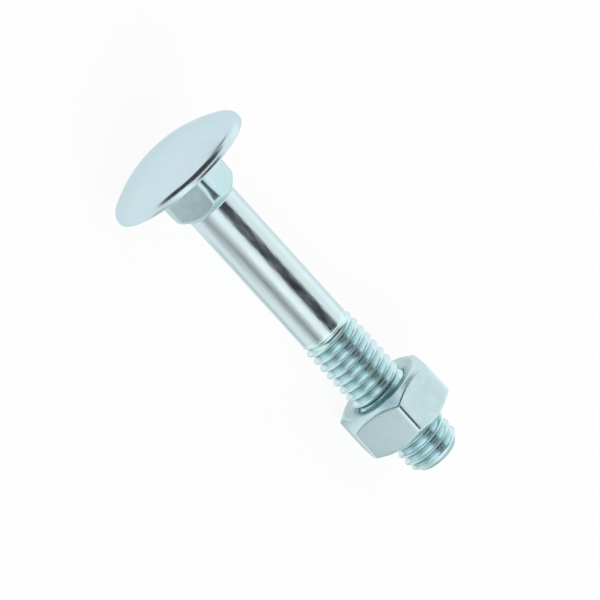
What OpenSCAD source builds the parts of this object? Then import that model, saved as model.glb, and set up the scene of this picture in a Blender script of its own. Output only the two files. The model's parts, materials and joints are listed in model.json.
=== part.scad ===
/* [Head] */
// Width across the domed head
head_d = 15.4; // [14:0.1:18]
// Height of the head from its bearing face to the top of the dome
head_h = 3.1; // [2.8:0.1:4.2]
// Rounding of the rim's upper edge, which leads into the dome
rim_top_r = 0.8; // [0.3:0.05:1]
// Rounding of the rim's lower edge, which leads into the bearing face
rim_foot_r = 0.2; // [0.1:0.05:0.6]
// Straight height of the rim between its two roundings
rim_side_h = 0.15; // [0.05:0.05:0.4]

/* [Square neck] */
// Width across the flats of the square neck
neck_w = 5.8; // [5.7:0.1:6.6]
// Height of the square neck, with its slope
neck_h = 4.4; // [3.4:0.1:5]
// Height of the slope that brings the square in to the round shank
neck_slope_h = 0.9; // [0.4:0.1:1.2]
// Rounding of the neck's four upright edges
neck_edge_r = 0.9; // [0.3:0.1:1.2]
// Turn of the neck's first edge from the middle of the nut's lower flat
neck_turn = 21; // [0:1:89]

/* [Shank and thread] */
// Length from the head's bearing face to the tip
bolt_l = 38.8; // [30:0.2:60]
// Length of the thread, measured back from the tip
thread_l = 17.5; // [14:0.5:24]
// Width over the thread's crests
thread_d = 6; // [5.9:0.05:6.2]
// Distance from one thread crest to the next
thread_pitch = 1; // [0.75:0.05:1.25]
// Width across the plain shank
shank_d = 5.4; // [5.3:0.05:5.6]
// Height of the chamfer at the tip
tip_chamfer_h = 0.9; // [0.6:0.1:1.2]
// How far the flat end of the tip lies inside the thread's crests
tip_chamfer_in = 0.8; // [0.5:0.1:1.2]

/* [Nut] */
// Width across the nut's flats
nut_af = 9.8; // [9:0.1:11]
// Thickness of the nut
nut_h = 5; // [4:0.1:6]
// Length of thread that shows past the nut
thread_past_nut = 4.2; // [1:0.1:8]
// Distance from the nut's flats in to its round bearing face
nut_bearing_in = 0.5; // [0.05:0.05:0.6]
// Angle between the nut's face and the chamfer on its corners
nut_chamfer_a = 35; // [15:5:40]
// Depth of the countersink at each end of the nut's hole
nut_sink_h = 0.35; // [0.1:0.05:0.6]
// Running clearance between the nut's hole and the thread's crests
nut_clearance = 0.03; // [0.02:0.01:0.08]

/* [Hidden] */
$fn = 96;
zinc_bolt = [0.78, 0.84, 0.87];
zinc_nut = [0.74, 0.81, 0.84];
head_rad = head_d / 2;
shank_rad = shank_d / 2;
crest_rad = thread_d / 2;
overcut = 1;

// Rim: the centres of its two roundings
rim_top_rad = head_rad - rim_top_r;
rim_top_z = -rim_foot_r - rim_side_h;
rim_foot_rad = head_rad - rim_foot_r;

// Dome: a sphere that runs smoothly into the rim's upper rounding
dome_run = head_h + rim_top_z;
dome_rad = (rim_top_rad ^ 2 + dome_run ^ 2 - rim_top_r ^ 2) / (2 * (dome_run - rim_top_r));
dome_centre_z = dome_rad - head_h;
dome_half_a = asin(rim_top_rad / (dome_rad - rim_top_r));
dome_edge_rad = dome_rad * sin(dome_half_a);
dome_edge_z = dome_centre_z - dome_rad * cos(dome_half_a);

// Neck: the radius over its rounded edges
neck_edge_out = neck_w / 2 - neck_edge_r;
neck_edge_rad = neck_edge_out * sqrt(2) + neck_edge_r;

// Thread of the 60 degree form, with crest and root lands
thread_depth = 17 / 24 * thread_pitch * sqrt(3) / 2;
root_rad = crest_rad - thread_depth;
crest_land = thread_pitch / 8;
flank_run = thread_depth * tan(30);
root_land = thread_pitch - crest_land - 2 * flank_run;
thread_z = bolt_l - thread_l;
first_flank_run = (crest_rad - shank_rad) * tan(30);
thread_turns = ceil(thread_l / thread_pitch);

// Nut: its place on the thread, its hole and its corner chamfer
nut_z = bolt_l - thread_past_nut - nut_h;
nut_bore_rad = crest_rad + nut_clearance;
nut_mouth_rad = nut_bore_rad + nut_sink_h;
nut_corner_rad = nut_af / 2 / cos(30);
nut_bearing_rad = nut_af / 2 - nut_bearing_in;
nut_chamfer_h = (nut_corner_rad - nut_bearing_rad) * tan(nut_chamfer_a);

// Rest: the bolt lies on its head's rim and on the end of the nut's lower flat
rest_z = nut_z + nut_h - nut_bearing_in * tan(nut_chamfer_a);
rest_run = rest_z + rim_foot_r;
rest_drop = rim_foot_rad - nut_af / 2;
rest_slope = atan(rest_drop / rest_run) + asin(rim_foot_r / sqrt(rest_run ^ 2 + rest_drop ^ 2));
axis_height = rim_foot_rad * cos(rest_slope) - rim_foot_r * sin(rest_slope) + rim_foot_r;
dome_reach = dome_centre_z * cos(rest_slope) - dome_rad;
tip_reach = bolt_l * cos(rest_slope) + (crest_rad - tip_chamfer_in) * sin(rest_slope);
axis_shift = -(dome_reach + tip_reach) / 2;

// Lays a piece that stands along +Z, head down, on its side with its tip towards +X
module lay() {
    translate([axis_shift, 0, axis_height]) rotate([0, 90 + rest_slope, 0]) children();
}

// Half section of the head: the dome's cap, then the rim's two roundings and straight side
module head_section() {
    intersection() {
        translate([0, dome_centre_z]) circle(dome_rad);
        translate([0, -head_h]) square([dome_edge_rad, head_h + dome_edge_z]);
    }
    intersection() {
        translate([rim_top_rad, rim_top_z]) circle(rim_top_r);
        translate([0, -head_h]) square([head_rad, head_h + rim_top_z]);
    }
    translate([0, dome_edge_z]) square([rim_top_rad, rim_top_z - dome_edge_z]);
    translate([0, rim_top_z]) square([head_rad, rim_side_h]);
    translate([rim_foot_rad, -rim_foot_r]) circle(rim_foot_r);
    translate([0, -rim_foot_r]) square([rim_foot_rad, rim_foot_r]);
}

// Half section of the shank and thread, whose ridges are closed rings at the thread's pitch
module shank_section() {
    ridge = [
        [crest_rad, 0],
        [crest_rad, crest_land],
        [root_rad, crest_land + flank_run],
        [root_rad, crest_land + flank_run + root_land]
    ];
    ridges = [
        for (turn = [0 : thread_turns - 1], point = ridge)
            [point[0], point[1] + thread_z + first_flank_run + turn * thread_pitch]
    ];
    thread_end = thread_z + first_flank_run + thread_turns * thread_pitch;
    intersection() {
        polygon(concat(
            [[0, rim_top_z], [shank_rad, rim_top_z], [shank_rad, thread_z]],
            ridges,
            [[crest_rad, thread_end], [0, thread_end]]
        ));
        polygon([
            [0, rim_top_z],
            [crest_rad, rim_top_z],
            [crest_rad, bolt_l - tip_chamfer_h],
            [crest_rad - tip_chamfer_in, bolt_l],
            [0, bolt_l]
        ]);
    }
}

// Outline of the square neck with its rounded edges
module neck_outline() {
    square([neck_w, 2 * neck_edge_out], center = true);
    square([2 * neck_edge_out, neck_w], center = true);
    for (side_x = [-1, 1], side_y = [-1, 1])
        translate([side_x * neck_edge_out, side_y * neck_edge_out]) circle(neck_edge_r);
}

// Square neck, brought in to the shank by a cone over its last stretch
module square_neck() {
    intersection() {
        rotate([0, 0, neck_turn - 45])
            translate([0, 0, rim_top_z]) linear_extrude(neck_h - rim_top_z) neck_outline();
        rotate_extrude() polygon([
            [0, rim_top_z],
            [neck_edge_rad, rim_top_z],
            [neck_edge_rad, neck_h - neck_slope_h],
            [shank_rad, neck_h],
            [0, neck_h]
        ]);
    }
}

module bolt() {
    color(zinc_bolt) lay() union() {
        rotate_extrude() head_section();
        square_neck();
        rotate_extrude() shank_section();
    }
}

// Hexagon with a flat downwards, trimmed by a cone at each face
module nut_blank() {
    intersection() {
        rotate([0, 0, 30]) cylinder(r = nut_corner_rad, h = nut_h, $fn = 6);
        rotate_extrude() polygon([
            [0, 0],
            [nut_bearing_rad, 0],
            [nut_corner_rad, nut_chamfer_h],
            [nut_corner_rad, nut_h - nut_chamfer_h],
            [nut_bearing_rad, nut_h],
            [0, nut_h]
        ]);
    }
}

// Hole through the nut, with the countersink at both mouths
module nut_hole() {
    translate([0, 0, -overcut]) cylinder(r = nut_bore_rad, h = nut_h + 2 * overcut);
    rotate_extrude() polygon([
        [0, -overcut],
        [nut_mouth_rad + overcut, -overcut],
        [nut_bore_rad, nut_sink_h],
        [0, nut_sink_h]
    ]);
    rotate_extrude() polygon([
        [0, nut_h - nut_sink_h],
        [nut_bore_rad, nut_h - nut_sink_h],
        [nut_mouth_rad + overcut, nut_h + overcut],
        [0, nut_h + overcut]
    ]);
}

module nut() {
    color(zinc_nut) lay() translate([0, 0, nut_z]) difference() {
        nut_blank();
        nut_hole();
    }
}

bolt();
nut();
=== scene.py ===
"""The looks of a zinc plated carriage bolt and its hex nut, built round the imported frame."""

import json
import logging
import math
from dataclasses import dataclass, field
from enum import Enum

import bpy
import numpy as np
from mathutils import Matrix, Vector

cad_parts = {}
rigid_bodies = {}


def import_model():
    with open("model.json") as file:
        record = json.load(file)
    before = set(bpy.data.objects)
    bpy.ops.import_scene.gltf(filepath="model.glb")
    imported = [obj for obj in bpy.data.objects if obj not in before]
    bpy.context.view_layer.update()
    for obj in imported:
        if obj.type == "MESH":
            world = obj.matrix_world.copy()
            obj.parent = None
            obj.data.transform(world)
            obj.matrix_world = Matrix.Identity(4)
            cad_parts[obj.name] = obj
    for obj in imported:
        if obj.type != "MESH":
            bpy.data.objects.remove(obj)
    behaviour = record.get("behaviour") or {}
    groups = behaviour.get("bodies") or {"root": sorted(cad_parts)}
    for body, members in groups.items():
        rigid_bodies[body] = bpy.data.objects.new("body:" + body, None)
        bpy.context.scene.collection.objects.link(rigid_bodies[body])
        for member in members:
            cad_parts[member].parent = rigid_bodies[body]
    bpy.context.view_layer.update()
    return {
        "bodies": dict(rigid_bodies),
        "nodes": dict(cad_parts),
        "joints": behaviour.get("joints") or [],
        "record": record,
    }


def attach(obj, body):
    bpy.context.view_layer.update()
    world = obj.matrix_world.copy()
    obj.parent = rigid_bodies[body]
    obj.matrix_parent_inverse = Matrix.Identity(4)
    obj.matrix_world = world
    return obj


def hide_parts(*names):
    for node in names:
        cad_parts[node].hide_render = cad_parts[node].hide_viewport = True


LOG = logging.getLogger("carriage_bolt")
MM = 0.001
SIDEWAYS = np.array([0.0, 1.0, 0.0])
WHITE = (1.0, 1.0, 1.0, 1.0)


class Zone(Enum):
    """The differently worked stretches of the bolt and nut, each with its own finish; the nut's
    end faces also carry painted shade.
    """

    FORGED = "forged_head"
    NECK = "forged_neck"
    DRAWN = "drawn_shank"
    ROLLED = "rolled_thread"
    NUT = "nut_flats"
    # The nut's end faces: their darker, greyer tint is painted shade
    SHADED_FACES = "nut_faces_shaded"
    TAPPED = "nut_thread"


def soft_max(a: np.ndarray, b: np.ndarray, reach: float) -> np.ndarray:
    """The larger of two heights, with the corner between them rounded.

    Half of (a + b + sqrt((a - b)^2 + reach^2)).

    Args:
        a: First height.
        b: Second height.
        reach: How far the rounding reaches, in the unit of a and b.

    Returns:
        The rounded maximum.
    """
    return (a + b + np.sqrt((a - b) ** 2 + reach**2)) / 2


def soft_min(a: np.ndarray, b: np.ndarray, reach: float) -> np.ndarray:
    """The smaller of two heights, with the corner between them rounded, as in soft_max."""
    return -soft_max(-a, -b, reach)


def s_curve(share: np.ndarray) -> np.ndarray:
    """The S curve 3x^2 - 2x^3 of a share that is held between 0 and 1.

    Args:
        share: The shares.

    Returns:
        The curve's height, from 0 to 1.
    """
    share = np.clip(share, 0, 1)
    return share**2 * (3 - 2 * share)


def soft_span(at: np.ndarray, span: tuple[float, float], soft: float) -> np.ndarray:
    """How much a soft-edged span covers each place.

    The S curve of the distance in from the nearer end, over the softness, which counts from
    half the softness outside that end.

    Args:
        at: The places.
        span: The span's two ends.
        soft: How wide each soft end is.

    Returns:
        The share from 0 to 1.
    """
    low, high = span
    return s_curve(np.minimum(at - low, high - at) / soft + 0.5)


def prism_radius(angle: np.ndarray, sides: int, apothem: float, edge_r: float) -> np.ndarray:
    """Distance from the axis to a regular prism with rounded edges, at each angle.

    On a flat it is the apothem over the cosine of the angle from the flat's middle. Within the
    rounding it is the far crossing of the ray with a circle of edge_r that touches both flats.

    Args:
        angle: Angles from the middle of a flat, in radians.
        sides: Number of flats.
        apothem: Distance from the axis to a flat.
        edge_r: Radius of the rounded edges.

    Returns:
        The distance at each angle.
    """
    half = math.pi / sides
    off_flat = np.abs((angle + half) % (2 * half) - half)
    off_edge = half - off_flat
    centre = (apothem - edge_r) / math.cos(half)
    across = centre * np.sin(off_edge)
    on_round = centre * np.cos(off_edge) + np.sqrt(np.maximum(edge_r**2 - across**2, 0))
    on_flat = apothem / np.cos(off_flat)
    flat_end = math.atan((apothem - edge_r) * math.tan(half) / apothem)
    return np.where(off_flat <= flat_end, on_flat, on_round)


@dataclass(frozen=True)
class Axis:
    """The bolt's own axis in the row frame: head's bearing face at zero, tip at plus.

    Angles run from straight below the axis towards +Y, which is right-handed about it.
    """

    origin: np.ndarray
    along: np.ndarray

    @property
    def below(self) -> np.ndarray:
        """Unit vector square to the axis, pointing down."""
        return np.cross(SIDEWAYS, self.along)

    def place(self, angle: np.ndarray, radius: np.ndarray, height: np.ndarray) -> np.ndarray:
        """Turns angle, radius and height about the axis into points in metres.

        Args:
            angle: Angle round the axis, in radians.
            radius: Distance from the axis, in millimetres.
            height: Distance along the axis from the head's bearing face, in millimetres.

        Returns:
            Points with a last axis of three coordinates.
        """
        radius, height, angle = np.broadcast_arrays(radius, height, angle)
        out = np.multiply.outer(radius * np.cos(angle), self.below)
        out = out + np.multiply.outer(radius * np.sin(angle), SIDEWAYS)
        out = out + np.multiply.outer(height, self.along)
        return self.origin + out * MM

    def height_of(self, point: np.ndarray) -> float:
        """How far along the axis a point in metres lies, in millimetres."""
        return float(np.dot(point - self.origin, self.along)) / MM

    @classmethod
    def from_frame(cls, frame: dict) -> "Axis":
        """Reads the axis from the nut's joint and the head's bearing face.


        Returns:
            The bolt's axis.
        """
        along = np.array(frame["joints"][0]["axis"], float)
        face = mount_place(frame, "under_head")
        return cls(origin=np.array([face[0], 0.0, face[2]]), along=along / np.linalg.norm(along))


def mount_place(frame: dict, name: str) -> np.ndarray:
    """Where a mount of the record stands, in metres.

    Args:
        name: The mount's name.

    Returns:
        Its position.
    """
    mounts = {m["name"]: m for m in frame["record"]["mounts"]}
    return np.array(mounts[name]["pos_m"], float)


@dataclass(frozen=True)
class ThreadForm:
    """A right-hand thread of 60 degrees with rounded crests and roots. Sizes in millimetres.

    The flanks pass pitch_r a quarter of a pitch from the groove's middle.
    """

    pitch: float = 1.0
    flank_a: float = 30.0
    pitch_r: float = 2.66
    root_r: float = 2.39
    crest_r: float = 3.0
    rounding: float = 0.14

    def radius(self, angle: np.ndarray, height: np.ndarray) -> np.ndarray:
        """Distance from the axis to the thread's surface.

        The number of turns is height over pitch less the share of a circle. Its distance from
        a whole number is the distance from the groove's middle, which the flank follows at 30
        degrees from square. Root and crest cut the flank off softly.

        Args:
            angle: Angle round the axis, in radians.
            height: Distance along the axis.

        Returns:
            The radius at each point.
        """
        turns = height / self.pitch - angle / (2 * math.pi)
        from_groove = np.abs(turns - np.round(turns))
        rise = self.pitch / math.tan(math.radians(self.flank_a))
        flank = self.pitch_r + (from_groove - 0.25) * rise
        return soft_max(soft_min(flank, self.crest_r, self.rounding), self.root_r, self.rounding)


@dataclass
class Skin:
    """A closed surface made of rings of points, given as one grid of radius and height.

    Ring i, column j holds the point at angle[j], radius[i, j] and height[i, j]. Rings run so
    that the outside is on the right-hand side, and either end in two poles or join up.
    """

    angle: np.ndarray
    radius: np.ndarray
    height: np.ndarray
    zones: list[Zone]
    poles: tuple[float, float] | None = None

    def faces(self) -> tuple[list, list]:
        """Joins neighbouring rings with quads, and the end rings to their poles with triangles.

        Returns:
            The faces, and for each face the ring that it starts from.
        """
        rings, columns = self.radius.shape
        index = np.arange(rings * columns).reshape(rings, columns)
        if self.poles is None:
            index = np.vstack([index, index[:1]])
        here, there = index[:-1], index[1:]
        turned = np.roll(here, -1, axis=1), np.roll(there, -1, axis=1)
        quads = np.stack([here, turned[0], turned[1], there], axis=-1).reshape(-1, 4)
        ring = np.repeat(np.arange(len(here)), columns)
        faces, rows = quads.tolist(), ring.tolist()
        if self.poles is not None:
            first, last = index[0], index[-1]
            head, tail = rings * columns, rings * columns + 1
            fan = np.stack([np.full(columns, head), np.roll(first, -1), first], axis=-1)
            cap = np.stack([np.full(columns, tail), last, np.roll(last, -1)], axis=-1)
            faces += fan.tolist() + cap.tolist()
            rows += [0] * columns + [rings - 1] * columns
        return faces, rows

    def build(self, name: str, axis: Axis) -> bpy.types.Object:
        """Makes the surface a Blender object at the origin, with its place in its mesh.

        Args:
            name: The piece's name.
            axis: The bolt's axis.

        Returns:
            The object, whose faces hold their zone's material index, in the order the zones first
            appear.
        """
        points = axis.place(self.angle[None, :], self.radius, self.height).reshape(-1, 3)
        if self.poles is not None:
            ends = axis.place(np.zeros(2), np.zeros(2), np.array(self.poles))
            points = np.vstack([points, ends])
        faces, rows = self.faces()
        mesh = bpy.data.meshes.new(name)
        mesh.from_pydata(points.tolist(), [], faces)
        order = list(dict.fromkeys(self.zones))
        slot_of_ring = np.array([order.index(zone) for zone in self.zones])
        mesh.polygons.foreach_set("material_index", slot_of_ring[np.array(rows)].astype(np.int32))
        mesh.polygons.foreach_set("use_smooth", np.ones(len(faces), bool))
        mesh.update()
        mesh.validate()
        piece = bpy.data.objects.new(name, mesh)
        bpy.context.scene.collection.objects.link(piece)
        return piece


def bend_through(corners: np.ndarray, setbacks: tuple[float, ...], steps: int) -> np.ndarray:
    """Rounds the corners of many half outlines at once.

    Each inner corner gives way to a quadratic curve that leaves the incoming side at the
    setback and joins the outgoing side at the setback: (1-t)^2 A + 2t(1-t) P + t^2 B.

    Args:
        corners: Corner points, as outline corner by column by (radius, height).
        setbacks: How far from each inner corner its curve starts and ends.
        steps: Stretches in each curve.

    Returns:
        Points of the rounded outlines, as ring by column by (radius, height).
    """
    rings = [corners[:1]]
    t = np.linspace(0, 1, steps + 1)[:, None, None]
    for before, corner, after, back in zip(corners, corners[1:], corners[2:], setbacks):
        inward, outward = before - corner, after - corner
        start = corner + back * inward / np.linalg.norm(inward, axis=-1, keepdims=True)
        end = corner + back * outward / np.linalg.norm(outward, axis=-1, keepdims=True)
        rings.append((1 - t) ** 2 * start + 2 * t * (1 - t) * corner + t**2 * end)
    rings.append(corners[-1:])
    return np.concatenate(rings)


@dataclass(frozen=True)
class ZincFinish:
    """Bright zinc plating with a pale passivation. Scales are in cycles for each millimetre.

    The ends of the cloud and the mottle are the noise values between which each one acts, and
    the mottle is mottle_size times coarser than the grain, which is grain_h deep. Groove holds
    the radii at the thread's root and where its painted shade ends: the colour is painted
    darker towards the roots, as shade that falls in the grooves. Lengths in millimetres.
    """

    zone: Zone
    tint: tuple[float, float, float]
    tint_far: tuple[float, float, float]
    roughness: float
    roughness_spread: float
    grain: float
    grain_scale: float
    stretch: float = 1.0
    cloud_scale: float = 0.35
    groove: tuple[float, float] | None = None
    # Colour of the painted shade at the thread's roots
    groove_shade_tint: tuple[float, float, float] = (0.36, 0.55, 0.58)
    glancing_tint: tuple[float, float, float] = (0.80, 0.88, 0.90)
    cloud_ends: tuple[float, float] = (0.35, 0.68)
    cloud_detail: float = 3.0
    mottle_ends: tuple[float, float] = (0.3, 0.7)
    mottle_size: float = 3.0
    grain_detail: float = 4.0
    grain_h: float = 0.02

    def build(self, axis: Axis) -> bpy.types.Material:
        """Builds the node material.

        Every pattern sits on Object coordinates turned on to the bolt's own axis. A slow cloud
        leads the colour from tint to tint_far, a finer mottle moves the roughness, and a grain,
        drawn out along the axis where the bar was drawn, gives the bump. In a thread the colour
        falls to the groove's shade tint from the crests down to the roots: painted shade.

        Args:
            axis: The bolt's axis.

        Returns:
            The material.
        """
        material = bpy.data.materials.new("zinc_" + self.zone.value)
        material.use_nodes = True
        nodes, links = material.node_tree.nodes, material.node_tree.links
        shader = nodes["Principled BSDF"]
        shader.inputs["Metallic"].default_value = 1.0
        shader.inputs["Specular Tint"].default_value = (*self.glancing_tint, 1.0)
        place = self.on_axis(nodes, links, axis)

        cloud = self.noise(nodes, links, place, self.cloud_scale, self.cloud_detail)
        ramp = nodes.new("ShaderNodeValToRGB")
        stops = zip(ramp.color_ramp.elements, self.cloud_ends, (self.tint, self.tint_far))
        for stop, position, tint in stops:
            stop.position = position
            stop.color = (*tint, 1.0)
        links.new(cloud, ramp.inputs["Fac"])
        colour = ramp.outputs["Color"]
        # Painted shade: the thread's colour darkens from the crests down to the roots
        if self.groove is not None:
            colour = self.paint_groove_shade(nodes, links, place, colour)
        links.new(colour, shader.inputs["Base Color"])

        drawn = nodes.new("ShaderNodeMapping")
        drawn.inputs["Scale"].default_value = (self.stretch, 1.0, 1.0)
        links.new(place, drawn.inputs["Vector"])
        along_grain = drawn.outputs["Vector"]
        mottle_scale = self.grain_scale / self.mottle_size
        mottle = self.noise(nodes, links, along_grain, mottle_scale, self.grain_detail)
        gloss = nodes.new("ShaderNodeMapRange")
        gloss.inputs["From Min"].default_value = self.mottle_ends[0]
        gloss.inputs["From Max"].default_value = self.mottle_ends[1]
        gloss.inputs["To Min"].default_value = self.roughness - self.roughness_spread
        gloss.inputs["To Max"].default_value = self.roughness + self.roughness_spread
        links.new(mottle, gloss.inputs["Value"])
        links.new(gloss.outputs["Result"], shader.inputs["Roughness"])

        fine = self.noise(nodes, links, along_grain, self.grain_scale, self.grain_detail)
        bump = nodes.new("ShaderNodeBump")
        bump.inputs["Strength"].default_value = self.grain
        bump.inputs["Distance"].default_value = self.grain_h * MM
        links.new(fine, bump.inputs["Height"])
        links.new(bump.outputs["Normal"], shader.inputs["Normal"])
        return material

    @staticmethod
    def on_axis(
        nodes: bpy.types.Nodes, links: bpy.types.NodeLinks, axis: Axis
    ) -> bpy.types.NodeSocket:
        """Object coordinates turned so that X runs along the bolt's axis, which is at Y = Z = 0.

        Args:
            nodes: The node tree's nodes.
            links: The node tree's links.
            axis: The bolt's axis.

        Returns:
            The socket that gives them, in metres.
        """
        dip = math.asin(axis.along[2])
        back = Matrix.Rotation(dip, 3, "Y") @ Vector(axis.origin)
        place = nodes.new("ShaderNodeTexCoord")
        turn = nodes.new("ShaderNodeMapping")
        turn.vector_type = "POINT"
        turn.inputs["Rotation"].default_value = (0.0, dip, 0.0)
        turn.inputs["Location"].default_value = -back
        links.new(place.outputs["Object"], turn.inputs["Vector"])
        return turn.outputs["Vector"]

    @staticmethod
    def noise(
        nodes: bpy.types.Nodes,
        links: bpy.types.NodeLinks,
        place: bpy.types.NodeSocket,
        scale: float,
        detail: float,
    ) -> bpy.types.NodeSocket:
        """A noise of a scale in cycles for each millimetre.

        Args:
            nodes: The node tree's nodes.
            links: The node tree's links.
            place: Where the noise is read.
            scale: Cycles for each millimetre.
            detail: Octaves added to the first.

        Returns:
            The socket with its value.
        """
        noise = nodes.new("ShaderNodeTexNoise")
        noise.inputs["Scale"].default_value = scale / MM
        noise.inputs["Detail"].default_value = detail
        links.new(place, noise.inputs["Vector"])
        return noise.outputs["Fac"]

    def paint_groove_shade(
        self,
        nodes: bpy.types.Nodes,
        links: bpy.types.NodeLinks,
        place: bpy.types.NodeSocket,
        colour: bpy.types.NodeSocket,
    ) -> bpy.types.NodeSocket:
        """Paints shade into the thread's grooves: leads the colour to the groove's shade tint by
        the distance from the axis.

        Args:
            nodes: The node tree's nodes.
            links: The node tree's links.
            place: Coordinates with X along the bolt's axis.
            colour: The colour at the crests.

        Returns:
            The socket with the colour at every depth.
        """
        flat = nodes.new("ShaderNodeVectorMath")
        flat.operation = "MULTIPLY"
        flat.inputs[1].default_value = (0.0, 1.0, 1.0)
        links.new(place, flat.inputs[0])
        distance = nodes.new("ShaderNodeVectorMath")
        distance.operation = "LENGTH"
        links.new(flat.outputs["Vector"], distance.inputs[0])
        depth = nodes.new("ShaderNodeMapRange")
        depth.interpolation_type = "SMOOTHSTEP"
        depth.inputs["From Min"].default_value = self.groove[0] * MM
        depth.inputs["From Max"].default_value = self.groove[1] * MM
        links.new(distance.outputs["Value"], depth.inputs["Value"])
        blend = nodes.new("ShaderNodeMix")
        blend.data_type = "RGBA"
        blend.inputs["A"].default_value = (*self.groove_shade_tint, 1.0)
        links.new(depth.outputs["Result"], blend.inputs["Factor"])
        links.new(colour, blend.inputs["B"])
        return blend.outputs["Result"]


PALE_BLUE = (0.60, 0.76, 0.80)
GREEN_BLUE = (0.53, 0.73, 0.73)
LAVENDER = (0.72, 0.87, 0.95)
SILVER = (0.67, 0.79, 0.81)
TEAL = (0.68, 0.90, 0.89)

FINISHES = {
    finish.zone: finish
    for finish in (
        ZincFinish(Zone.FORGED, (0.62, 0.78, 0.82), (0.62, 0.75, 0.82), 0.22, 0.04, 0.12, 3.0),
        ZincFinish(Zone.NECK, (0.51, 0.71, 0.72), (0.57, 0.74, 0.79), 0.26, 0.06, 0.30, 2.5),
        ZincFinish(Zone.DRAWN, SILVER, (0.63, 0.77, 0.80), 0.19, 0.07, 0.60, 4.0, stretch=0.3),
        # The rolled thread has painted shade in its grooves, from 2.38 to 2.62 mm out
        ZincFinish(Zone.ROLLED, TEAL, LAVENDER, 0.23, 0.06, 0.25, 5.0, groove=(2.38, 2.62)),
        ZincFinish(Zone.NUT, (0.64, 0.80, 0.84), (0.57, 0.78, 0.79), 0.25, 0.05, 0.20, 3.0),
        # The nut's end faces are rougher for their turned finish, and their darker, greyer tint is
        # painted shade
        ZincFinish(Zone.SHADED_FACES, (0.52, 0.64, 0.63), (0.58, 0.69, 0.68), 0.36, 0.08, 0.40, 4.0),
        ZincFinish(Zone.TAPPED, GREEN_BLUE, PALE_BLUE, 0.32, 0.06, 0.25, 5.0),
    )
}


def dress(piece: bpy.types.Object, zones: list[Zone], axis: Axis) -> None:
    """Gives a piece the finish of each of its zones, in slot order.

    Args:
        piece: The piece.
        zones: The zone of each ring.
        axis: The bolt's axis.
    """
    for zone in dict.fromkeys(zones):
        name = "zinc_" + zone.value
        material = bpy.data.materials.get(name) or FINISHES[zone].build(axis)
        piece.data.materials.append(material)


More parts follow.
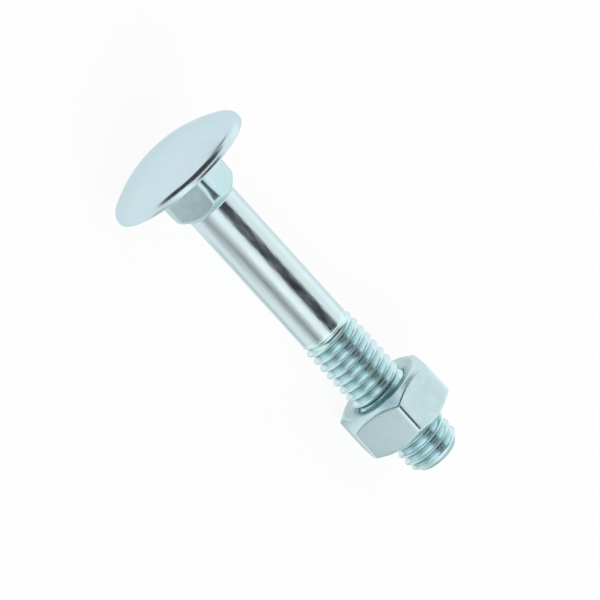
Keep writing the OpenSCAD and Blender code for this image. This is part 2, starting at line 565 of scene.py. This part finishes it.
@dataclass
class CarriageBolt:
    """The forged bolt: domed head, square neck, drawn shank, rolled thread. Millimetres.

    Fields that end in soft are the reach of a rounding, and those that end in steps are counts
    of rings. The drawn finish starts drawn_before ahead of the slope's end, and the plain
    shank's own rings keep plain_margin clear of the neck and of the thread.
    """

    axis: Axis
    length: float
    head_d: float = 15.4
    head_h: float = 3.1
    rim_top_r: float = 0.8
    rim_foot_r: float = 0.2
    rim_side_h: float = 0.15
    neck_w: float = 5.8
    neck_h: float = 4.4
    neck_slope_h: float = 0.9
    neck_edge_r: float = 0.9
    neck_turn: float = 21.0
    neck_root_r: float = 0.25
    corner_trim_h: float = 1.4
    corner_trim_in: float = 0.11
    trim_soft: float = 0.01
    slope_soft: float = 0.08
    slope_end_soft: float = 0.04
    shank_d: float = 5.4
    drawn_before: float = 0.2
    plain_margin: float = 0.3
    thread_l: float = 17.5
    run_out_turns: float = 1.3
    tip_chamfer_h: float = 0.9
    tip_chamfer_in: float = 0.8
    tip_soft: float = 0.05
    tip_shares: tuple[float, ...] = (0.93, 0.8, 0.5, 0.2)
    thread: ThreadForm = field(default_factory=ThreadForm)
    columns: int = 128
    cap_steps: int = 44
    rim_steps: int = 13
    face_steps: int = 8
    hollow_steps: int = 5
    neck_steps: int = 28
    slope_end_steps: int = 12
    shank_steps: int = 25
    rings_a_turn: int = 22

    def outline(self) -> tuple[np.ndarray, np.ndarray, np.ndarray, list[Zone]]:
        """Works out every ring of the bolt, from the top of the dome to the tip.

        Returns:
            The column angles, the radius and height of each ring, and each ring's zone.
        """
        angle = np.arange(self.columns) * 2 * math.pi / self.columns
        root = self.neck_root_r
        forged_to = self.neck_h - self.drawn_before
        slope_to = self.neck_h + self.plain_margin
        stretches = [
            (Zone.FORGED, self.dome_rings()),
            (Zone.FORGED, self.under_rings(angle)),
            (Zone.NECK, self.neck_rings(angle, root, forged_to, self.neck_steps)),
            (Zone.DRAWN, self.neck_rings(angle, forged_to, slope_to, self.slope_end_steps)),
            (Zone.DRAWN, self.shank_rings()),
            (Zone.ROLLED, self.thread_rings(angle)),
        ]
        full = [
            (zone, *np.broadcast_arrays(radius, height, np.zeros(self.columns))[:2])
            for zone, (radius, height) in stretches
        ]
        radius = np.concatenate([r for _, r, _ in full])
        height = np.concatenate([h for _, _, h in full])
        zones = [zone for zone, r, _ in full for _ in r]
        return angle, radius, height, zones

    def dome_rings(self) -> tuple[np.ndarray, np.ndarray]:
        """A sphere's cap that runs smoothly into the rim's upper and lower roundings.

        The cap is r = R sin b, h = c - R cos b up to the angle where its tangent meets the
        upper rounding. The rest of that rounding and the lower one follow as circle arcs.

        Returns:
            Radius and height of each ring.
        """
        top, foot = self.rim_top_r, self.rim_foot_r
        inner = self.head_d / 2 - top
        level = foot + self.rim_side_h
        run = self.head_h - level
        dome = (inner**2 + run**2 - top**2) / (2 * (run - top))
        edge = math.asin(inner / (dome - top))
        cap = np.linspace(0, edge, self.cap_steps + 1)[1:]
        upper = np.linspace(edge, math.pi / 2, self.rim_steps + 1)[1:]
        lower = np.linspace(math.pi / 2, math.pi, self.rim_steps + 1)
        radius = [
            dome * np.sin(cap),
            inner + top * np.sin(upper),
            self.head_d / 2 - foot + foot * np.sin(lower),
        ]
        height = [
            dome - self.head_h - dome * np.cos(cap),
            -level - top * np.cos(upper),
            -foot - foot * np.cos(lower),
        ]
        return np.concatenate(radius)[:, None], np.concatenate(height)[:, None]

    def neck_radius(self, angle: np.ndarray) -> np.ndarray:
        """Distance from the axis to the square neck's sides at each angle."""
        turned = angle - math.radians(self.neck_turn - 45)
        return prism_radius(turned, 4, self.neck_w / 2, self.neck_edge_r)

    def under_rings(self, angle: np.ndarray) -> tuple[np.ndarray, np.ndarray]:
        """The flat bearing face, and the small hollow rounding where the neck leaves it.

        Args:
            angle: Column angles.

        Returns:
            Radius and height of each ring.
        """
        side = self.neck_radius(angle)
        outer = self.head_d / 2 - self.rim_foot_r
        share = np.linspace(0, 1, self.face_steps + 1)[1:, None]
        flat = outer + share * (side + self.neck_root_r - outer)
        bend = np.linspace(0, math.pi / 2, self.hollow_steps + 1)[1:, None]
        hollow = side + self.neck_root_r * (1 - np.sin(bend))
        height = np.concatenate(
            [np.zeros_like(flat), self.neck_root_r * (1 - np.cos(bend)) + 0 * side]
        )
        return np.concatenate([flat, hollow]), height

    def neck_rings(
        self, angle: np.ndarray, start: float, end: float, count: int
    ) -> tuple[np.ndarray, np.ndarray]:
        """The square neck, cut by a cone that brings it in to the shank, with soft corners.

        Just before that cone a much steeper one trims the neck's edges over corner_trim_h.

        Args:
            angle: Column angles.
            start: Height that the rings start above.
            end: Height of the last ring.
            count: Number of rings.

        Returns:
            Radius and height of each ring.
        """
        side = self.neck_radius(angle)
        edge = (self.neck_w / 2 - self.neck_edge_r) * math.sqrt(2) + self.neck_edge_r
        slope_start = self.neck_h - self.neck_slope_h
        height = np.linspace(start, end, count + 1)[1:, None]
        shank = self.shank_d / 2
        cone = edge - (height - slope_start) * (edge - shank) / self.neck_slope_h
        trim_start = slope_start - self.corner_trim_h
        trim = edge - (height - trim_start) * self.corner_trim_in / self.corner_trim_h
        side = soft_min(soft_min(side, trim, self.trim_soft), cone, self.slope_soft)
        return soft_max(side, shank, self.slope_end_soft), height

    @property
    def thread_start(self) -> float:
        """Height at which the thread's own rings start, just before the thread."""
        return self.length - self.thread_l - self.plain_margin

    def shank_rings(self) -> tuple[np.ndarray, np.ndarray]:
        """The plain round shank.

        Returns:
            Radius and height of each ring.
        """
        start = self.neck_h + self.plain_margin
        height = np.linspace(start, self.thread_start, self.shank_steps + 1)[1:, None]
        return np.full_like(height, self.shank_d / 2), height

    def thread_rings(self, angle: np.ndarray) -> tuple[np.ndarray, np.ndarray]:
        """The rolled thread, with its run-out at the shank and the chamfered tip.

        The thread fades in over the run-out with an S curve, and the tip's cone cuts it off.

        Args:
            angle: Column angles.

        Returns:
            Radius and height of each ring.
        """
        start = self.thread_start
        count = int((self.length - start) / self.thread.pitch * self.rings_a_turn)
        height = np.linspace(start, self.length, count)[1:, None]
        share = s_curve((height - start) / (self.run_out_turns * self.thread.pitch))
        shank = self.shank_d / 2
        radius = shank + share * (self.thread.radius(angle, height) - shank)
        tip_r = self.thread.crest_r - self.tip_chamfer_in
        cone = tip_r + (self.length - height) * self.tip_chamfer_in / self.tip_chamfer_h
        radius = soft_min(radius, cone, self.tip_soft)
        face = radius[-1:] * np.array(self.tip_shares)[:, None]
        level = np.full((len(self.tip_shares), 1), self.length)
        return np.concatenate([radius, face]), np.concatenate([height, level])

    def build(self) -> bpy.types.Object:
        """Builds the bolt as one closed skin, dresses it and puts it on its body.

        Returns:
            The bolt's object.
        """
        angle, radius, height, zones = self.outline()
        skin = Skin(angle, radius, height, zones, poles=(-self.head_h, self.length))
        piece = skin.build("bolt_skin", self.axis)
        dress(piece, zones, self.axis)
        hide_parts("bolt")
        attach(piece, "bolt")
        return piece


@dataclass
class HexNut:
    """The hex nut, chamfered on both faces, with a thread that meshes with the bolt's.

    Millimetres. The rings that end each flat lie flat_guard inside it, and setbacks holds how
    far the rounding of each corner of the half outline reaches.
    """

    axis: Axis
    near: float
    thickness: float
    across_flats: float = 9.8
    edge_r: float = 0.5
    bearing_in: float = 0.5
    chamfer_a: float = 35.0
    mouth_r: float = 3.38
    sink_soft: float = 0.05
    flat_guard: float = 0.3
    setbacks: tuple[float, ...] = (0.12, 0.16, 0.03, 0.03, 0.16, 0.12)
    bend_steps: int = 6
    thread: ThreadForm = field(
        default_factory=lambda: ThreadForm(pitch_r=2.72, root_r=2.46, crest_r=3.05)
    )
    columns_a_flat: int = 28
    rings_a_turn: int = 20

    def column_angles(self) -> np.ndarray:
        """Angles that crowd towards the nut's edges: half a flat times the sine of the share.

        Returns:
            The angles round the axis, in radians.
        """
        step = 2 * np.arange(self.columns_a_flat) / self.columns_a_flat - 1
        half = math.pi / 6
        one = half * np.sin(step * math.pi / 2)
        return (one[None, :] + 2 * half * np.arange(6)[:, None]).ravel()

    def outer_rings(self, angle: np.ndarray) -> np.ndarray:
        """The outside: near face, chamfer, flats, chamfer and far face, with soft edges.

        The chamfer is a cone from the bearing circle, so its height over the face is the
        distance out from that circle times the tangent of its angle.

        Args:
            angle: Column angles.

        Returns:
            Rings by columns by (radius, height), from the near mouth to the far mouth.
        """
        flats = prism_radius(angle, 6, self.across_flats / 2, self.edge_r)
        bearing = self.across_flats / 2 - self.bearing_in
        rise = (flats - bearing) * math.tan(math.radians(self.chamfer_a))
        far = self.near + self.thickness
        level = np.zeros_like(angle)
        corners = [
            (level + self.mouth_r, level + self.near),
            (level + bearing, level + self.near),
            (flats, self.near + rise),
            (flats, self.near + rise + self.flat_guard),
            (flats, far - rise - self.flat_guard),
            (flats, far - rise),
            (level + bearing, level + far),
            (level + self.mouth_r, level + far),
        ]
        outline = np.array([np.stack(corner, axis=-1) for corner in corners])
        return bend_through(outline, self.setbacks, self.bend_steps)

    def hole_rings(self, angle: np.ndarray) -> tuple[np.ndarray, np.ndarray]:
        """The threaded hole, from the far mouth back to the near one, opened by its sinks.

        A sink is a cone of 45 degrees, so its radius is the mouth's less the depth.

        Args:
            angle: Column angles.

        Returns:
            Radius and height of each ring.
        """
        far = self.near + self.thickness
        count = int(self.thickness / self.thread.pitch * self.rings_a_turn)
        height = np.linspace(far, self.near, count)[1:-1, None]
        from_mouth = np.minimum(far - height, height - self.near)
        sink = self.mouth_r - from_mouth
        return soft_max(self.thread.radius(angle, height), sink, self.sink_soft), height

    def build(self) -> bpy.types.Object:
        """Builds the nut as one closed ring of rings, dresses it and puts it on its body.

        Returns:
            The nut's object.
        """
        angle = self.column_angles()
        outer = self.outer_rings(angle)
        hole_r, hole_h = self.hole_rings(angle)
        hole_r, hole_h = np.broadcast_arrays(hole_r, hole_h)
        radius = np.concatenate([outer[..., 0], hole_r])
        height = np.concatenate([outer[..., 1], hole_h])
        # A ring's zone is that of the band between it and the next ring
        # The nut's end faces take the finish whose darker tint is painted shade
        zones = [Zone.SHADED_FACES] + [Zone.NUT] * (len(outer) - 3) + [Zone.SHADED_FACES]
        zones += [Zone.TAPPED] * (len(hole_r) + 1)
        piece = Skin(angle, radius, height, zones).build("nut_skin", self.axis)
        dress(piece, zones, self.axis)
        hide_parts("nut")
        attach(piece, "nut")
        return piece


@dataclass
class PhotoView:
    """The photograph's view of the bolt. Angles in degrees, lengths in millimetres."""

    axis: Axis
    above_level: float = 57.0
    head_towards: float = 17.4
    roll: float = 47.8
    aim_along: float = 17.55
    aim_across: float = 0.17
    frame_width: float = 58.0
    lens: float = 250.0
    sensor: float = 36.0
    clip_ratio: float = 100.0

    @property
    def across(self) -> np.ndarray:
        """Unit vector square to the axis and to the view, away from the near side."""
        rise = math.radians(self.above_level)
        return math.sin(rise) * SIDEWAYS - math.cos(rise) * self.axis.below

    def directions(self) -> tuple[np.ndarray, np.ndarray, np.ndarray]:
        """Works out how the camera stands.

        Returns:
            Towards the camera, then the picture's right and up, as unit vectors.
        """
        rise = math.radians(self.above_level)
        near = -math.cos(rise) * SIDEWAYS - math.sin(rise) * self.axis.below
        across = self.across
        lean = math.radians(self.head_towards)
        back = math.cos(lean) * near - math.sin(lean) * self.axis.along
        run = math.cos(lean) * self.axis.along + math.sin(lean) * near
        roll = math.radians(self.roll)
        right = math.cos(roll) * run + math.sin(roll) * across
        up = -math.sin(roll) * run + math.cos(roll) * across
        return back, right, up

    def build(self) -> bpy.types.Object:
        """Makes the camera and gives it to the scene.

        Returns:
            The camera.
        """
        back, right, up = self.directions()
        offset = self.aim_along * self.axis.along + self.aim_across * self.across
        aim = self.axis.origin + MM * offset
        distance = self.frame_width * MM * self.lens / self.sensor
        data = bpy.data.cameras.new("photo_view")
        data.lens = self.lens
        data.sensor_width = self.sensor
        data.clip_start = distance / self.clip_ratio
        data.clip_end = distance * self.clip_ratio
        data.dof.use_dof = False
        camera = bpy.data.objects.new("photo_view", data)
        turn = Matrix([right, up, back]).transposed().to_4x4()
        camera.matrix_world = Matrix.Translation(Vector(aim + back * distance)) @ turn
        bpy.context.scene.collection.objects.link(camera)
        bpy.context.scene.camera = camera
        return camera


@dataclass(frozen=True)
class Panel:
    """A soft-edged panel of the room, in degrees round the bolt's middle.

    Turns run about the bolt's axis from straight up, plus away from the camera. Tilts run from
    square to the axis, plus towards the tip.
    """

    turns: tuple[float, float]
    tilts: tuple[float, float]
    shade: float
    soft: float = 8.0

    def cover(self, turn: np.ndarray, tilt: np.ndarray) -> np.ndarray:
        """How much the panel covers each direction: its cover by turn times that by tilt.

        Args:
            turn: Turns of the directions.
            tilt: Tilts of the directions.

        Returns:
            The share from 0 to 1.
        """
        by_turn = soft_span(turn, self.turns, self.soft)
        return by_turn * soft_span(tilt, self.tilts, self.soft)


# In turn: the bright far side, the pale grey near side, a bright strip over it, the dark strip
# above the bolt, the dark panel above its head, and a grey and a dark one beyond the head
PANELS = (
    Panel(turns=(60, 190), tilts=(-20, 95), shade=1.14, soft=20),
    Panel(turns=(-190, -72), tilts=(-30, 60), shade=0.80, soft=16),
    Panel(turns=(-58, -34), tilts=(-20, 40), shade=1.16, soft=14),
    Panel(turns=(-22, 24), tilts=(5, 32), shade=0.03, soft=8),
    Panel(turns=(-36, 25), tilts=(-70, -12), shade=0.07, soft=10),
    Panel(turns=(40, 100), tilts=(-66, -44), shade=0.35, soft=10),
    Panel(turns=(-120, 42), tilts=(-74, -23), shade=0.05, soft=12),
)


@dataclass(frozen=True)
class Card:
    """A soft grey card on the white sheet by the bolt; the one below neck and shank is a painted
    shadow.

    Turns as for a Panel, and its reach along the bolt in millimetres from the head's bearing
    face.
    """

    turns: tuple[float, float]
    along: tuple[float, float]
    shade: float
    soft: float = 40.0
    soft_along: float = 4.0

    def cover(self, turn: np.ndarray, along: np.ndarray) -> np.ndarray:
        """How much the card covers each place: its cover by turn times that along the bolt.

        Args:
            turn: Turns of the places.
            along: Their distances from the head's bearing face.

        Returns:
            The share from 0 to 1.
        """
        by_turn = soft_span(turn, self.turns, self.soft)
        return by_turn * soft_span(along, self.along, self.soft_along)


# In turn: the card below neck and shank, a painted shadow where the bolt's own shadow falls,
# those beside neck and shank, and the nut's
CARDS = (
    # Painted shadow: a grey patch on the floor under the bolt's near side, seen only in the metal,
    # where the bolt's shadow falls
    Card(turns=(-200, -140), along=(9, 39), shade=0.60, soft=30),
    Card(turns=(-108, -74), along=(9, 18), shade=0.40),
    Card(turns=(-98, -68), along=(18, 39), shade=0.30),
    Card(turns=(-220, -82), along=(39, 90), shade=0.60),
)


@dataclass(frozen=True)
class SoftLamp:
    """A square lamp aimed at the bolt's middle: its place as Studio.point has it, and watts."""

    name: str
    turn: float
    tilt: float
    distance: float
    size: float
    power: float


LAMPS = (
    SoftLamp("lamp_front", turn=-40.0, tilt=25.0, distance=600.0, size=300.0, power=1.5),
    SoftLamp("lamp_back", turn=70.0, tilt=0.0, distance=700.0, size=400.0, power=1.2),
)


@dataclass
class Studio:
    """A pale floor, a white surround, soft lamps and the room that the metal mirrors.

    Lengths in millimetres, but floor_size in metres. The bolt's middle is a height on its axis.
    """

    axis: Axis
    middle: float = 20.0
    floor_size: float = 4.0
    floor_paint: float = 0.9
    floor_white: float = 0.90
    plain_light: float = 0.7
    room_r: float = 500.0
    room_columns: int = 180
    room_rows: int = 89
    room_last_tilt: float = 88.0
    screen_r: float = 40.0
    screen_turns: tuple[float, float] = (-152.0, -58.0)
    screen_along: tuple[float, float] = (6.0, 70.0)
    screen_lift: float = 0.03
    screen_rows: int = 40
    screen_columns: int = 96

    def build(self) -> None:
        """Builds the floor, the surround, the lamps and the mirrored room."""
        self.floor()
        self.surround()
        self.lamps()
        self.mirrored_room()
        self.mirrored_screen()

    def floor(self) -> None:
        """A plain white floor that shows white to the camera and in the metal."""
        half = self.floor_size / 2
        mesh = bpy.data.meshes.new("floor")
        corners = [(-half, -half, 0), (half, -half, 0), (half, half, 0), (-half, half, 0)]
        mesh.from_pydata(corners, [], [(0, 1, 2, 3)])
        floor = bpy.data.objects.new("floor", mesh)
        bpy.context.scene.collection.objects.link(floor)
        material = bpy.data.materials.new("floor_white")
        material.use_nodes = True
        nodes, links = material.node_tree.nodes, material.node_tree.links
        nodes.remove(nodes["Principled BSDF"])
        paint = nodes.new("ShaderNodeBsdfDiffuse")
        paint.inputs["Color"].default_value = (*[self.floor_paint] * 3, 1.0)
        glow = nodes.new("ShaderNodeEmission")
        glow.inputs["Color"].default_value = WHITE
        mix = nodes.new("ShaderNodeMixShader")
        links.new(self.seen(nodes, links, self.floor_white), mix.inputs[0])
        links.new(paint.outputs[0], mix.inputs[1])
        links.new(glow.outputs[0], mix.inputs[2])
        links.new(mix.outputs[0], nodes["Material Output"].inputs["Surface"])
        mesh.materials.append(material)

    @staticmethod
    def seen(
        nodes: bpy.types.Nodes, links: bpy.types.NodeLinks, share: float
    ) -> bpy.types.NodeSocket:
        """A share for rays from the camera, and from metal or glass, and nothing for others.

        Args:
            nodes: The node tree's nodes.
            links: The node tree's links.
            share: The share for those rays.

        Returns:
            The socket that gives it.
        """
        path = nodes.new("ShaderNodeLightPath")
        counted = path.outputs["Is Camera Ray"]
        for ray in ("Is Glossy Ray", "Is Transmission Ray"):
            either = nodes.new("ShaderNodeMath")
            either.operation = "MAXIMUM"
            links.new(counted, either.inputs[0])
            links.new(path.outputs[ray], either.inputs[1])
            counted = either.outputs[0]
        scaled = nodes.new("ShaderNodeMath")
        scaled.operation = "MULTIPLY"
        scaled.inputs[1].default_value = share
        links.new(counted, scaled.inputs[0])
        return scaled.outputs[0]

    def surround(self) -> None:
        """A world that is white to the camera and in the metal, and a plain grey light else."""
        world = bpy.data.worlds.new("surround")
        bpy.context.scene.world = world
        world.use_nodes = True
        nodes, links = world.node_tree.nodes, world.node_tree.links
        plain = nodes["Background"]
        plain.inputs["Color"].default_value = WHITE
        plain.inputs["Strength"].default_value = self.plain_light
        white = nodes.new("ShaderNodeBackground")
        white.inputs["Color"].default_value = WHITE
        white.inputs["Strength"].default_value = 1.0
        mix = nodes.new("ShaderNodeMixShader")
        links.new(self.seen(nodes, links, 1.0), mix.inputs[0])
        links.new(plain.outputs[0], mix.inputs[1])
        links.new(white.outputs[0], mix.inputs[2])
        links.new(mix.outputs[0], nodes["World Output"].inputs["Surface"])

    def point(self, turn: float, tilt: float, distance: float) -> np.ndarray:
        """A point round the bolt's middle, in metres.

        Args:
            turn: Degrees about the bolt's axis from straight up, plus away from the camera.
            tilt: Degrees from square to the axis, plus towards the tip.
            distance: Millimetres from the bolt's middle.

        Returns:
            The point.
        """
        about, lean = math.radians(turn), math.radians(tilt)
        square = -math.cos(about) * self.axis.below + math.sin(about) * SIDEWAYS
        way = math.cos(lean) * square + math.sin(lean) * self.axis.along
        return self.axis.place(0.0, 0.0, self.middle) + way * distance * MM

    def lamps(self) -> None:
        """A large soft lamp behind the camera and a weaker one at the back."""
        for plan in LAMPS:
            data = bpy.data.lights.new(plan.name, "AREA")
            data.shape = "SQUARE"
            data.size = plan.size * MM
            data.energy = plan.power
            lamp = bpy.data.objects.new(plan.name, data)
            place = Vector(self.point(plan.turn, plan.tilt, plan.distance))
            lamp.location = place
            aim = Vector(self.axis.place(0.0, 0.0, self.middle)) - place
            lamp.rotation_euler = aim.to_track_quat("-Z", "Y").to_euler()
            lamp.visible_glossy = False
            bpy.context.scene.collection.objects.link(lamp)

    def mirrored_room(self) -> None:
        """A sphere round the bolt: white, with the room's soft panels on it.

        Each point holds the room's brightness in its direction, where each panel in turn
        leads what is behind it to its own shade by its cover.
        """
        angle = np.arange(self.room_columns) * 2 * math.pi / self.room_columns
        tilt = np.linspace(-self.room_last_tilt, self.room_last_tilt, self.room_rows)[:, None]
        height = self.middle + self.room_r * np.sin(np.radians(tilt)) + 0 * angle
        radius = self.room_r * np.cos(np.radians(tilt)) + 0 * angle
        poles = (self.middle - self.room_r, self.middle + self.room_r)
        skin = Skin(angle, radius, height, [Zone.FORGED] * len(tilt), poles=poles)
        turn = (360 - np.degrees(angle)) % 360 - 180
        shade = np.ones_like(radius)
        ends = np.ones(2)
        for panel in PANELS:
            shade += panel.cover(turn[None, :], tilt) * (panel.shade - shade)
            ends += panel.cover(np.zeros(2), np.array([-90.0, 90.0])) * (panel.shade - ends)
        levels = np.concatenate([shade.ravel(), ends])
        self.mirrored(skin.build("mirrored_room", self.axis), levels)

    def mirrored_screen(self) -> None:
        """A curved white sheet beside the near side and under the bolt, with grey cards and a
        painted shadow on it.

        At each turn it is screen_r from the axis, or on the floor where that is nearer: there
        its radius is the axis's height over the share of each direction that points down. Each
        card in turn leads what is behind it to its own shade by its cover.
        """
        turn = np.linspace(*self.screen_turns, self.screen_columns)
        along = np.linspace(*self.screen_along, self.screen_rows)[:, None]
        up = np.cos(np.radians(turn)) * -self.axis.below[2]
        height = (self.axis.origin[2] + along * MM * self.axis.along[2]) / MM
        above = height - self.screen_lift
        reach = np.where(up < 0, above / np.maximum(-up, 1e-6), self.screen_r)
        radius = np.minimum(reach, self.screen_r)
        points = self.axis.place(math.pi - np.radians(turn), radius, along)
        index = np.arange(radius.size).reshape(radius.shape)
        quads = np.stack([index[:-1, :-1], index[:-1, 1:], index[1:, 1:], index[1:, :-1]], axis=-1)
        mesh = bpy.data.meshes.new("mirrored_screen")
        mesh.from_pydata(points.reshape(-1, 3).tolist(), [], quads.reshape(-1, 4).tolist())
        screen = bpy.data.objects.new("mirrored_screen", mesh)
        bpy.context.scene.collection.objects.link(screen)
        levels = np.ones_like(radius)
        for card in CARDS:
            levels += card.cover(turn, along) * (card.shade - levels)
        self.mirrored(screen, levels.ravel())

    def mirrored(self, stage: bpy.types.Object, levels: np.ndarray) -> None:
        """Makes a stage piece glow at a level for each point, for the metal alone.

        Args:
            stage: The piece.
            levels: Brightness at each of its points.
        """
        colours = np.stack([levels, levels, levels, np.ones_like(levels)], axis=-1)
        layer = stage.data.color_attributes.new("brightness", "FLOAT_COLOR", "POINT")
        layer.data.foreach_set("color", colours.astype(np.float32).ravel())
        material = bpy.data.materials.new(stage.name + "_glow")
        material.use_nodes = True
        nodes, links = material.node_tree.nodes, material.node_tree.links
        nodes.remove(nodes["Principled BSDF"])
        level = nodes.new("ShaderNodeAttribute")
        level.attribute_name = "brightness"
        glow = nodes.new("ShaderNodeEmission")
        links.new(level.outputs["Color"], glow.inputs["Color"])
        links.new(glow.outputs[0], nodes["Material Output"].inputs["Surface"])
        stage.data.materials.append(material)
        stage.visible_camera = False
        stage.visible_diffuse = False
        stage.visible_shadow = False


def main() -> None:
    """Builds the bolt, the nut, the studio and the camera in order."""
    logging.basicConfig(level=logging.INFO, format="%(name)s: %(message)s")
    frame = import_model()
    axis = Axis.from_frame(frame)
    length = axis.height_of(mount_place(frame, "threaded_end"))
    near = axis.height_of(mount_place(frame, "nut_bearing"))
    middle = axis.height_of(mount_place(frame, "nut_hexagon"))
    pieces = [
        CarriageBolt(axis, length).build(),
        HexNut(axis, near, 2 * (middle - near)).build(),
    ]
    for piece in pieces:
        LOG.info("%s: %d faces", piece.name, len(piece.data.polygons))
    Studio(axis).build()
    PhotoView(axis).build()
    bpy.context.scene.view_settings.view_transform = "Standard"


if __name__ == "__main__":
    main()
